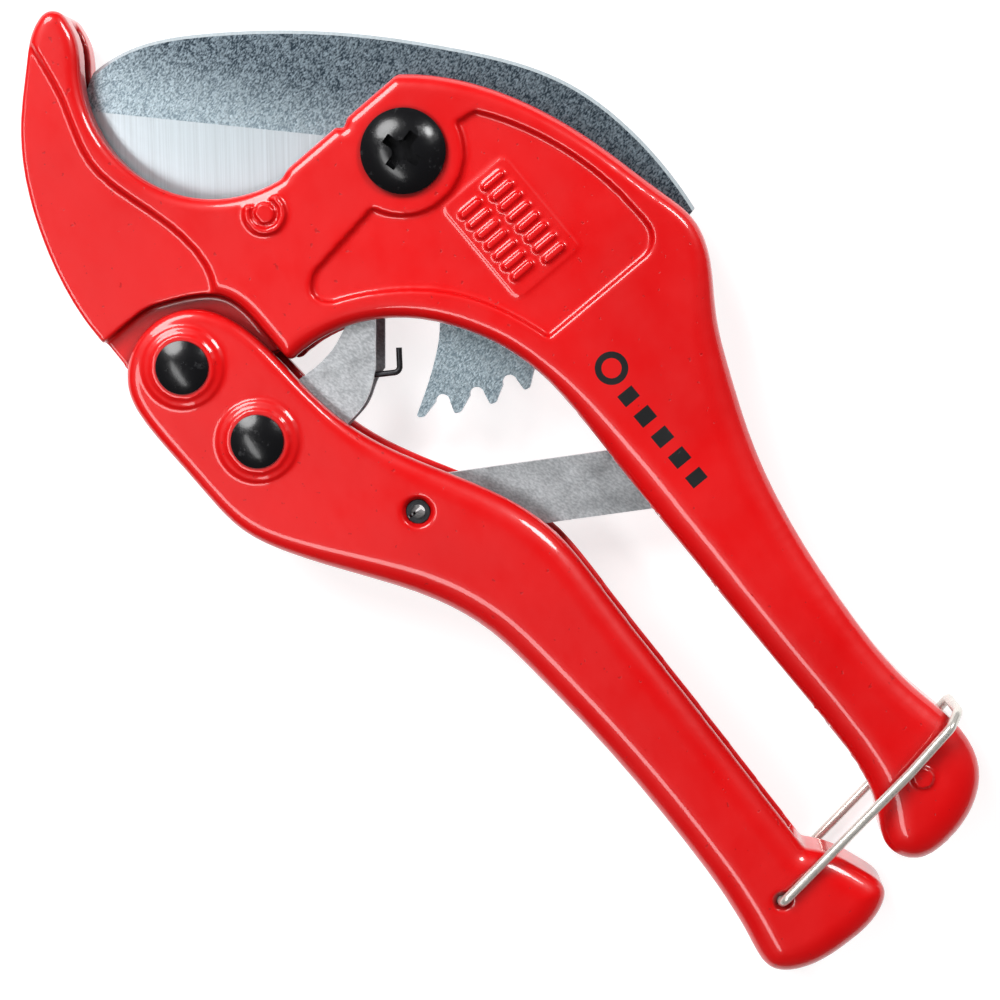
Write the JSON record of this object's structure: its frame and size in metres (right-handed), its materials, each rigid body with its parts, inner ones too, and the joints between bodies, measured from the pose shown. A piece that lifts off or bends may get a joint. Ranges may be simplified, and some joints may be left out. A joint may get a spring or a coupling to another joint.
{
  "type": "plastic pipe cutter",
  "caption": "Ratcheting scissor cutter for plastic pipe: hook jaw, pivoted wedge blade, red cast handles and a wire clasp that holds them shut.",
  "frame": {"origin": "bottom centre of the whole tool lying flat on its rear side", "axes": "+X towards the handle ends, +Z the tool's thickness, its marked face up"},
  "size_m": [0.2039, 0.0932, 0.0199],
  "materials": {
    "red_enamel": "glossy red enamel on die casting",
    "blade_steel": "mottled flats with a bright ground bevel",
    "zinc_steel": "bright zinc plated",
    "bronze": "plain turned",
    "black_oxide": "glossy black oxide",
    "dark_spring_steel": "blackened spring steel",
    "nickel_wire": "bright nickel plated wire"
  },
  "bodies": {
    "upper_handle": {"upper_handle": "red_enamel", "blade_screw": "black_oxide", "blade_bushing": "bronze", "blade_shim_front": "zinc_steel", "blade_shim_rear": "zinc_steel", "nut_washer": "zinc_steel", "blade_nut": "zinc_steel", "return_spring": "dark_spring_steel"},
    "blade": {"blade": "blade_steel"},
    "lower_handle": {"lower_handle": "red_enamel", "handle_rivet": "black_oxide", "handle_rivet_washer": "zinc_steel", "pawl_rivet": "black_oxide", "pawl_rivet_washer": "zinc_steel", "pawl_sleeve": "zinc_steel", "strip_roll_pin": "dark_spring_steel"},
    "pawl": {"drive_pawl": "zinc_steel", "pawl_spring": "dark_spring_steel"},
    "strip": {"return_strip": "zinc_steel"},
    "clasp": {"wire_clasp": "nickel_wire"}
  },
  "joints": [
    {"name": "blade_swing", "type": "hinge", "parent": "upper_handle", "child": "blade", "pos_m": [-0.0461, 0.0154, 0.01], "axis": [0, 0, -1], "range_deg": [0, 50]},
    {"name": "handle_swing", "type": "hinge", "parent": "upper_handle", "child": "lower_handle", "pos_m": [-0.0426, -0.0354, 0.01], "axis": [0, 0, -1], "range_deg": [-2, 15], "deforming": ["return_spring", "wire_clasp"]},
    {"name": "pawl_swing", "type": "hinge", "parent": "lower_handle", "child": "pawl", "pos_m": [-0.0253, -0.0337, 0.01], "axis": [0, 0, -1], "range_deg": [0, 12], "stiffness_Nm_per_rad": 0.02, "deforming": ["pawl_spring"]},
    {"name": "strip_swing", "type": "hinge", "parent": "lower_handle", "child": "strip", "pos_m": [0.0006, -0.0209, 0.01], "axis": [0, 0, -1], "range_deg": [-28, 4]},
    {"name": "clasp_swing", "type": "hinge", "parent": "lower_handle", "child": "clasp", "pos_m": [0.089, -0.016, 0.01], "axis": [0, 0, -1], "range_deg": [0, 100]}
  ],
  "couplings": [
    {"joint": "strip_swing", "follows": "handle_swing", "ratio": -1.85}
  ]
}
